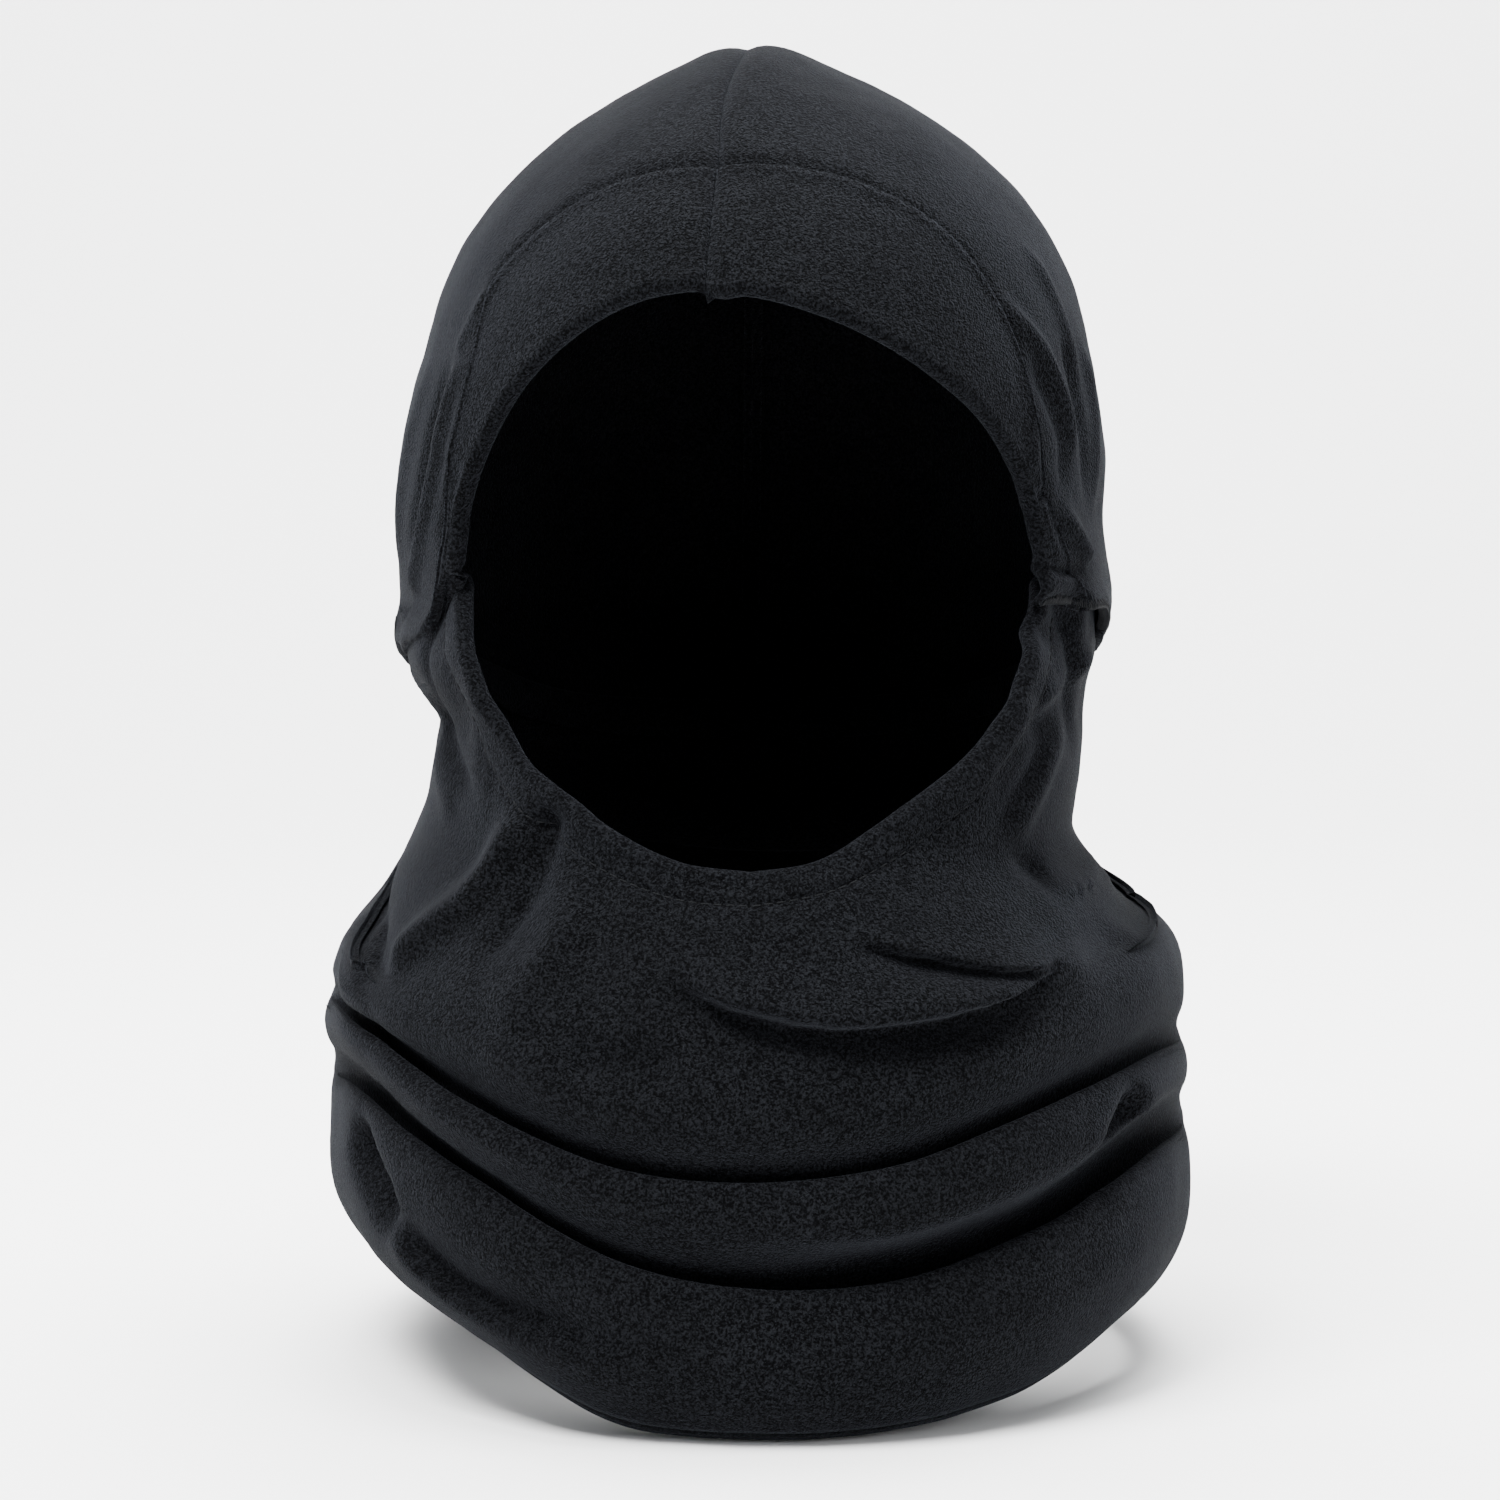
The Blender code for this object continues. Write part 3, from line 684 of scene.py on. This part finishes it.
def tube_loft():
    """The whole tube: from its top edge, through its rolls, to the hem it stands on."""
    path, rim_share = top_edge(TUBE_COLUMNS // 2)
    count = len(path)
    low = (np.arange(count) - count // 2) / (count // 2) * math.pi
    tangent = np.roll(path[:, :2], -1, axis=0) - np.roll(path[:, :2], 1, axis=0)
    tangent[0] = tangent[-1] = (1, 0)
    inward = np.stack([tangent[:, 1], -tangent[:, 0]], axis=1)
    for _ in range(3):
        inward = sum(np.roll(inward, k, axis=0) for k in range(-3, 4))
        inward = unit(inward)

    collar, one, two = (around(values, low) for values in (COLLAR, CREASE_ONE, CREASE_TWO))
    hem, tuck = around(HEM_LOW, low), around(LOW_TUCK, low)
    collar_depth, one_depth = around(COLLAR_DEPTH, low), around(ONE_DEPTH, low)
    two_depth, two_gape = around(TWO_DEPTH, low), np.maximum(around(TWO_GAPE, low), 0)
    knots = crease_knots(collar, collar_depth, 0.0, 24.0, collar - one - 12)
    knots += crease_knots(one, one_depth, 0.0, collar - one, one - two - 6)
    knots += crease_knots(two, two_depth, two_gape, one - two, two - hem)
    span = two - hem
    knots += [(hem + 0.42 * span, 1.8 - 0.16 * tuck), (hem + 0.22 * span, 0.6 - 0.40 * tuck),
              (hem + 0.07 * span, -1.5 - 0.72 * tuck), (hem, -4.0 - tuck),
              (hem + 1.6, -8.0 - tuck), (hem + 8.0, -9.0 - tuck), (hem + 14.0, -8.5 - tuck)]
    in_crease = [2] * 13                # rows between a crease's knots
    counts = in_crease + [7] + in_crease + [4] + in_crease + [6, 5, 4, 3, 3, 3, 3]
    rows = rows_through(knots, counts)
    first = np.stack(np.broadcast_arrays(*knots[0]))

    rings = []
    bottom = np.stack([low * UNROLL, first[0] * MM], axis=1)
    length = np.linalg.norm(bottom - path[:, :2], axis=1)[:, None]
    for w in np.linspace(0, 1, UPPER_ROWS):
        start, leave, end, arrive = cubic_weights(w)
        place = (start * path[:, :2] + leave * inward * length * 0.8
                 + end * bottom + arrive * np.array([0, -0.9]) * length)
        azimuth, z = place[:, 0] / UNROLL, place[:, 1]
        correction = path[:, 2] * (1 - smooth(w / 0.7))
        rings.append(ring(azimuth, tube_radius(azimuth, z) + correction + first[1] * MM * w, z))
    for height, offset in rows:
        z = height * MM
        level = np.maximum(z, COLUMN_Z[0])
        rings.append(ring(low, tube_radius(low, level) + offset * MM, z))
    return np.array(rings), rim_share


NECK_STROKES = [
    # swag under the chin: it hangs over the cloth below, and rises to the wearer's left
    ledge([(-24, -109, 114), (-16, -111, 109), (-2, -113, 103), (12, -114, 100), (30, -111, 99),
           (47, -106, 101), (64, -94, 106), (76, -78, 113)],
          4.4, 9, 6.5, 7, 1.5, taper=(0.22, 0.25), samples=40),
    ledge([(22, -107, 119), (36, -103, 115), (45, -100, 113), (53, -97, 111), (64, -90, 110),
           (74, -80, 112)], 2.4, 7, 9.5, 3.6, 1.1, taper=(0.35, 0.3), samples=30),
    fold([(14, -110, 106), (36, -106, 104), (56, -98, 104), (74, -84, 109), (86, -66, 114)], 3.0, 4.5),
    # diagonal folds on the wearer's right, from the rim down to the collar
    fold([(-50, -82, 149), (-58, -78, 138), (-67, -76, 127), (-78, -69, 116), (-87, -62, 100)],
         6.5, 5.0, SIDEWAYS, taper=(0.22, 0.25)),
    fold([(-48, -85, 149), (-50, -87, 138), (-54, -89, 128), (-60, -90, 118), (-66, -92, 104)],
         -5.5, 3.4, SIDEWAYS, taper=(0.1, 0.5)),
    fold([(-38, -92, 140), (-42, -94, 130), (-46, -98, 120), (-54, -100, 108)], 2.2, 5, SIDEWAYS),
    fold([(-40, -95, 130), (-44, -97, 118), (-52, -99, 106), (-62, -99, 96)], 2.8, 7, SIDEWAYS),
    fold([(-77, -35, 168), (-74, -46, 159), (-70, -56, 153), (-63, -67, 147)],
         -2.2, 2.8, taper=(0.15, 0.3)),
    fold([(-80, -32, 160), (-77, -44, 150), (-72, -55, 143)], 1.8, 5),
    # the collar's front end on the wearer's right, and the roll below it
    ledge([(-91, -34, 118), (-92, -46, 106), (-92, -56, 96), (-86, -70, 88)],
          2.4, 8, 3.0, 6, 2.0, up=(-1, 0.6, 0), taper=(0.25, 0.4)),
    fold([(-107, -6, 97), (-100, -48, 97), (-90, -69, 94), (-76, -91, 85)], 2.4, 6),
    # wearer's left: pleats between the jaw and the collar
    fold([(70, -66, 174), (62, -74, 162), (56, -80, 151), (50, -86, 141)],
         2.0, 4, SIDEWAYS, taper=(0.2, 0.4)),
    fold([(80, -46, 168), (74, -58, 155), (68, -68, 142), (62, -76, 132)],
         2.6, 4.4, SIDEWAYS, taper=(0.2, 0.35)),
    fold([(76, -58, 164), (68, -68, 151), (60, -78, 139)], -2.4, 3.2, SIDEWAYS),
    fold([(66, -74, 139), (69, -69, 133), (75, -62, 128)], -4.6, 3.6, SIDEWAYS),
    ledge([(70, -70, 124), (80, -56, 124), (87, -36, 125), (88, -12, 129)], 2.6, 4, 2.4, 3, 1.2),
    fold([(84, -50, 140), (88, -30, 134), (90, -8, 131)], 2.2, 3.5),
    fold([(86, -62, 113), (98, -38, 111), (103, -5, 109)], 2.4, 5),
    # soft hollow low on the front
    fold([(-47, -107, 92), (-30, -113, 90), (-14, -116, 90)], -3.4, 5.5),
    fold([(-64, -98, 98), (-52, -107, 86), (-42, -112, 78)], 1.4, 6),
    # the ends of the pockets in the sides of the lower rolls
    fold([(99, -68, 77), (92, -80, 66), (84, -88, 52)], -9.5, 4.6, SIDEWAYS, taper=(0.2, 0.15)),
    fold([(90, -84, 72), (84, -92, 62), (76, -99, 54)], 2.6, 4, SIDEWAYS),
    fold([(-100, -56, 67), (-94, -68, 56), (-86, -80, 45)], -9.0, 4.6, SIDEWAYS),
    ledge([(-90, -74, 47), (-80, -87, 37), (-66, -97, 30), (-48, -107, 26), (-26, -114, 23),
           (-8, -117, 22)], 3.6, 10, 6.0, 7, 1.6, up=(0, 0, -1), taper=(0.15, 0.45), samples=36),
    # jaw twists
    fold([(-90, -4, 176), (-84, -20, 172), (-77, -38, 166)], 2.0, 3.0),
    fold([(88, -28, 183), (79, -50, 175), (67, -68, 172)], 2.6, 3.0),
    fold([(87, -34, 176), (78, -52, 168), (65, -70, 164)], -2.4, 3.0),
    fold([(84, -40, 192), (76, -56, 189), (68, -68, 187)], -2.6, 3.6),
]


def smooth_along(values, reach):
    """Running mean along the columns, which close in a ring."""
    return sum(np.roll(values, k, axis=1) for k in range(-reach, reach + 1)) / (2 * reach + 1)


def at_distance(grid, down, distance):
    """Points of every column at a distance down from the top edge."""
    out = np.empty(grid.shape[1:])
    for j in range(grid.shape[1]):
        for k in range(3):
            out[j, k] = np.interp(distance, down[:, j], grid[:, j, k])
    return out


def build_neck(materials):
    grid, rim_share = tube_loft()
    count = grid.shape[1]
    azimuth = np.arctan2(grid[..., 0], -grid[..., 1])
    outward = np.stack([np.sin(azimuth), -np.cos(azimuth), np.zeros_like(azimuth)], axis=-1)
    ramp = smooth(np.arange(len(grid)) / 8.0)[:, None]
    lower = smooth((0.150 - grid[..., 2]) / 0.03)
    rise = 2.0 * MM * wander(grid, 14.0, 5.0) * lower + 0.9 * MM * wander(grid, 38.0, 7.0)
    rise += 0.35 * MM * wander(grid, 95.0, 9.0)
    grid = grid + outward * (rise * ramp)[..., None]
    grid = shape_by(grid, NECK_STROKES, outward)
    down = run_down(grid)
    quarter = count // 4
    columns = np.arange(count)
    u = np.abs(columns - count // 2) / (count // 2)
    on_rim = 1 - smooth((u / rim_share - 0.85) / 0.15)
    hem_line = -0.55 * MM * np.exp(-((down - CHIN_STITCH) / (0.8 * MM)) ** 2) * on_rim
    thick = 0.35 * MM * smooth((CHIN_STITCH - down) / (1.5 * MM)) * on_rim
    grid = grid + outward * (hem_line + thick + chin_puckers(count, down, on_rim))[..., None]
    seam = np.minimum(np.abs(columns - quarter), np.abs(columns - 3 * quarter))
    grid = grid - outward * (0.9 * MM * np.exp(-(seam / 0.9) ** 2))[None, :, None]
    grid = relax(grid, 2, keep_rows=3)
    grid[..., 2] = np.maximum(grid[..., 2], 0.3 * MM)

    # turned-in hem along the chin and the hidden top edge: a round fold and an inner layer
    down = run_down(grid)
    normals = unit(smooth_along(-grid_normals(grid, closed=True), 5))
    inner = []
    for distance in np.linspace(8.5, 1.0, 7) * MM:
        normal = at_distance(normals, down, max(distance, 2.5 * MM))
        inner.append(at_distance(grid, down, distance) - 2 * CHIN_FOLD * normal)
    normal = unit(at_distance(normals, down, 2.5 * MM))
    up = grid[0] - at_distance(grid, down, 3.0 * MM)
    up -= normal * (up * normal).sum(axis=1, keepdims=True)
    up = unit(smooth_along(up[None], 3)[0])
    for angle in np.linspace(math.pi, 0, 9)[:-1]:
        inner.append(turned_by(angle, grid[0], up, normal, CHIN_FOLD))
    turned = len(inner)
    whole = np.concatenate([np.array(inner), grid])

    hem_row = len(whole) - HEM_ROWS
    front = cloth_piece("neck_tube_front", whole[:hem_row + 1, quarter:3 * quarter + 1],
                        materials["fleece"], flip=True, body=None)
    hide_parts("neck_front", "chin_panel", "chin_hem")
    back_index = np.arange(3 * quarter, 5 * quarter + 1) % count
    back = cloth_piece("neck_tube_back", whole[:hem_row + 1, back_index], materials["fleece"], flip=True)
    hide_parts("neck_back")
    hem = cloth_piece("bottom_hem_fold", whole[hem_row:], materials["fleece"], closed=True, flip=True)
    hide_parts("bottom_hem")
    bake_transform(front)
    return whole, turned, quarter


def relax(grid, times, keep_rows=0):
    """Light smoothing round and down the tube."""
    for _ in range(times):
        sides = 0.5 * (np.roll(grid, 1, axis=1) + np.roll(grid, -1, axis=1))
        new = grid.copy()
        new[1:-1] = 0.5 * grid[1:-1] + 0.25 * sides[1:-1] + 0.125 * (grid[:-2] + grid[2:])
        new[:keep_rows] = grid[:keep_rows]
        grid = new
    return grid


def chin_puckers(count, down, on_rim):
    """Small puckers that the chin hem's stitching draws into the cloth on both sides of it."""
    rng = np.random.default_rng(7)
    lift = np.zeros(down.shape)
    columns = np.arange(count)
    for at in np.arange(0, count, 3.4):
        centre = at + rng.uniform(-1.2, 1.2)
        strength, length = rng.uniform(0.15, 0.6) * MM, rng.uniform(2.5, 7.0) * MM
        across = np.exp(-((columns - centre) / 1.1) ** 2)[None, :]
        along = np.exp(-((down - CHIN_STITCH - 0.35 * length) / length) ** 2)
        lift -= strength * across * along
    return lift * on_rim[None, :]


# --- sewing: stitches, overlock, elastics -----------------------------------------------------

def tubes_mesh(name, lines, radius, material, body=ROOT, sides=6):
    """Round strands along polylines, with closed ends."""
    vertices, faces = [], []
    for line in lines:
        line = np.asarray(line)
        direction = np.gradient(line, axis=0)
        direction /= np.maximum(np.linalg.norm(direction, axis=1, keepdims=True), 1e-12)
        helper = np.array([0.31, 0.22, 0.92])
        first = unit(np.cross(direction, helper))
        second = np.cross(direction, first)
        base = len(vertices)
        for i in range(len(line)):
            for k in range(sides):
                a = 2 * math.pi * k / sides
                vertices.append(line[i] + radius * (math.cos(a) * first[i] + math.sin(a) * second[i]))
        for i in range(len(line) - 1):
            for k in range(sides):
                n = (k + 1) % sides
                faces.append((base + i * sides + k, base + i * sides + n,
                              base + (i + 1) * sides + n, base + (i + 1) * sides + k))
        faces.append(tuple(base + k for k in range(sides))[::-1])
        faces.append(tuple(base + (len(line) - 1) * sides + k for k in range(sides)))
    return mesh_object(name, vertices, faces, material, body)


def running_stitches(line, normals, pitch, length, sink):
    """Short strands along a line that dip into the cloth at both ends."""
    run = run_along(line)
    stitches = []
    for start in np.arange(0, run[-1] - pitch, pitch):
        stitch = []
        for t in np.linspace(0, 1, 6):
            at = start + t * length
            point = np.array([np.interp(at, run, line[:, k]) for k in range(3)])
            normal = np.array([np.interp(at, run, normals[:, k]) for k in range(3)])
            stitch.append(point + normal * (sink * (1 - (2 * t - 1) ** 4) - 0.5 * sink))
        stitches.append(stitch)
    return stitches


def build_sewing(materials, hood, neck):
    """Topstitch, elastics, seam allowances and bar tacks."""
    whole, turned, quarter = neck
    thread = materials["thread"]
    normals = -grid_normals(whole, closed=True)
    outer = whole[turned:]
    outer_normals = normals[turned:]
    down = run_down(outer)
    line = at_distance(outer, down, CHIN_STITCH)
    line_normals = at_distance(outer_normals, down, CHIN_STITCH)
    reach = int(STITCHED_SHARE * outer.shape[1])
    middle = outer.shape[1] // 2
    span = slice(middle - reach, middle + reach + 1)
    stitches = running_stitches(line[span], line_normals[span], 3.0 * MM, 2.0 * MM, 0.25 * MM)
    chin = tubes_mesh("chin_topstitch", stitches, 0.19 * MM, thread, body=None)
    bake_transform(chin)

    elastic_rows = np.array([
        at_distance(outer, down, d) - at_distance(outer_normals, down, 3 * MM) * (CLOTH + 0.1 * MM)
        for d in (1.6 * MM, 3.6 * MM, 5.6 * MM)])
    reach = int(ELASTIC_SHARE * outer.shape[1])
    span = slice(middle - reach, middle + reach)
    chin_elastic = cloth_piece("chin_elastic_strip", elastic_rows[:, span], materials["elastic"],
                               thickness=0.4 * MM, flip=True, body=None)
    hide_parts("chin_elastic")
    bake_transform(chin_elastic)

    strips = []
    for word, side in SIDES:
        casing, casing_normals = hood["casing_" + word]
        rows = [casing[i, :-6] - casing_normals[i, :-6] * (CLOTH + 0.15 * MM)
                for i in (10, 13, 16, 19)]
        strips.append(np.array(rows)[:, ::side])
    brow = cloth_piece("brow_elastic_strip", np.concatenate(strips, axis=1), materials["elastic"],
                       thickness=0.5 * MM, flip=True)
    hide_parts("brow_elastic")

    (right, right_normals), (left, left_normals) = hood["right"], hood["left"]
    line = 0.5 * (right[:, 0] + left[:, 0])
    inward = -0.5 * (right_normals[:, 0] + left_normals[:, 0])
    inward[:, 0] = 0
    across = np.array([1.0, 0, 0])
    under = line + inward * SEAM_ALLOWANCE
    tape = np.stack([under + across * shift * MM for shift in (-2.6, -1.3, 0, 1.3, 2.6)])
    overlock = cloth_piece("crown_seam_overlock", tape, materials["edge"],
                           thickness=0.9 * MM)
    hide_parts("crown_seam")

    for word, column in (("right", quarter), ("left", 3 * quarter)):
        patch = outer[6:UPPER_ROWS - 2, column - 3:column + 4]
        patch_normals = outer_normals[6:UPPER_ROWS - 2, column - 3:column + 4]
        strip = cloth_piece(f"side_seam_allowance_{word}", patch - patch_normals * (CLOTH + 0.2 * MM),
                            materials["edge"], thickness=1.2 * MM, flip=True)
        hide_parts(f"side_seam_{word}")
    nape = np.arange(-NAPE_COLUMNS, NAPE_COLUMNS + 1) % outer.shape[1]
    rows = np.array([at_distance(outer, down, d) + outer_normals[2] * (0.2 * MM + 1.2 * MM)
                     for d in (1 * MM, 4 * MM, 8 * MM)])
    join = cloth_piece("neck_join_allowance", rows[:, nape], materials["edge"],
                       thickness=1.2 * MM)
    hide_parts("neck_join_seam")

    for word, side in SIDES:
        panel, panel_normals = hood[word]
        place = np.array([side * TACK_PLACE[0], TACK_PLACE[1], TACK_PLACE[2]])
        row = int(np.argmin(np.linalg.norm(panel[:, -1] - place, axis=1)))
        strands = []
        for k in range(9):
            i = row + k // 3
            top = panel[i, -5] + panel_normals[i, -5] * 0.1 * MM
            low_end = panel[i, -2] - panel_normals[i, -2] * 0.2 * MM
            shift = (panel[i + 1, -5] - panel[i, -5]) * (k % 3) / 3
            middle = 0.5 * (top + low_end) + shift + panel_normals[i, -3] * 0.3 * MM
            strands.append([top + shift, middle, low_end + shift])
        tack = tubes_mesh(f"jaw_bar_tack_{word}", strands, 0.28 * MM, thread)
        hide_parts(f"hinge_tack_{word}")

    build_jaw_overlock(thread, hood)


def build_jaw_overlock(thread, hood):
    """Overlock thread wrapped round the cut edge beside the wearer's left jaw."""
    rng = np.random.default_rng(11)
    panel, panel_normals = hood["left"]
    casing, casing_normals = hood["casing_left"]
    edge = np.concatenate([casing[::-1, -1], panel[:OVERLOCKED, -1]])
    inside = np.concatenate([casing[::-1, -3], panel[:OVERLOCKED, -3]])
    normals = np.concatenate([casing_normals[::-1, -1], panel_normals[:OVERLOCKED, -1]])
    strands = []
    for i in range(1, len(edge) - 1):
        for half in (0, 0.5):
            a = edge[i] + (edge[i + 1] - edge[i]) * half
            up = unit(inside[i] - edge[i])
            lean = (edge[i + 1] - edge[i]) * rng.uniform(0.1, 0.6)
            width = rng.uniform(1.4, 2.6) * MM
            n = normals[i]
            under = n * (CLOTH + 0.2 * MM)
            strands.append([a + up * width + lean + n * 0.05 * MM,
                            a + up * 0.6 * width + n * 0.35 * MM,
                            a - up * 0.1 * MM + n * 0.1 * MM,
                            a - up * 0.45 * MM - n * 0.5 * CLOTH,
                            a - up * 0.1 * MM - under,
                            a + up * width - under])
    tubes_mesh("jaw_overlock_thread", strands, 0.2 * MM, thread, sides=5)


# --- stage, light and camera --------------------------------------------------------------

def build_stage():
    """A pale floor that curves up into a backdrop."""
    width, depth, height, bend_at, radius = 6.0, 3.0, 4.0, 1.2, 0.8
    profile = [(-depth, 0.0), (bend_at, 0.0)]
    for angle in np.linspace(0, math.pi / 2, 24)[1:]:
        profile.append((bend_at + radius * math.sin(angle), radius * (1 - math.cos(angle))))
    profile.append((bend_at + radius, height))
    rows = np.array([[(x, y, z) for x in (-width / 2, width / 2)] for y, z in profile])
    mesh = bpy.data.meshes.new("studio_floor")
    faces = [tuple(f) for f in grid_faces(len(rows), 2)]
    mesh.from_pydata([tuple(p) for p in rows.reshape(-1, 3)], [], faces)
    mesh.shade_smooth()
    floor = new_object("studio_floor", mesh)
    material, _, shader = node_material("studio_paper")
    shader.inputs["Base Color"].default_value = (0.93, 0.93, 0.93, 1)
    shader.inputs["Roughness"].default_value = 0.9
    mesh.materials.append(material)


def area_light(name, place, target, size, power):
    data = bpy.data.lights.new(name, "AREA")
    data.shape = "RECTANGLE"
    data.size, data.size_y = size
    data.energy = power
    light = new_object(name, data)
    light.location = place
    light.rotation_euler = (Vector(target) - Vector(place)).to_track_quat("-Z", "Y").to_euler()


def build_light():
    world = bpy.data.worlds.new("studio")
    bpy.context.scene.world = world
    world.use_nodes = True
    background = world.node_tree.nodes["Background"]
    background.inputs["Color"].default_value = (0.95, 0.97, 1.0, 1)
    background.inputs["Strength"].default_value = 0.55
    area_light("key", (-0.45, -0.55, 1.35), (0, -0.05, 0.20), (0.7, 0.5), 62)
    area_light("top", (0.15, 0.05, 1.5), (0, 0, 0.2), (1.0, 0.8), 55)
    area_light("fill", (0.9, -1.1, 0.6), (0, 0, 0.15), (0.8, 0.8), 5)
    area_light("backdrop", (0, 0.55, 1.9), (0, 2.0, 0.3), (3.0, 0.8), 150)


def build_camera():
    elevation, distance, aim_z = math.radians(5.0), 1.0, 0.154
    pixels, metres_per_pixel, sensor = 1500, 0.26 * MM, 36.0
    data = bpy.data.cameras.new("view")
    data.sensor_width = sensor
    data.lens = sensor * distance / (pixels * metres_per_pixel)
    data.clip_start = 0.01
    camera = new_object("view", data)
    camera.location = (0, -distance * math.cos(elevation), aim_z + distance * math.sin(elevation))
    camera.rotation_euler = (math.radians(90) - elevation, 0, 0)
    bpy.context.scene.camera = camera


def main():
    dark, light = (0.0002, 0.0002, 0.0003, 1), (0.0058, 0.0063, 0.0075, 1)
    materials = {
        "fleece": fleece_material("fleece_nap", dark, light),
        "edge": fleece_material("fleece_cut_edge", dark, light, 1.4),
        "thread": thread_material("sewing_thread", (0.0036, 0.0040, 0.0048)),
        "elastic": elastic_material("braided_elastic"),
    }
    build_stage()
    build_light()
    build_camera()
    hood = build_hood(materials)
    neck = build_neck(materials)
    build_sewing(materials, hood, neck)


main()
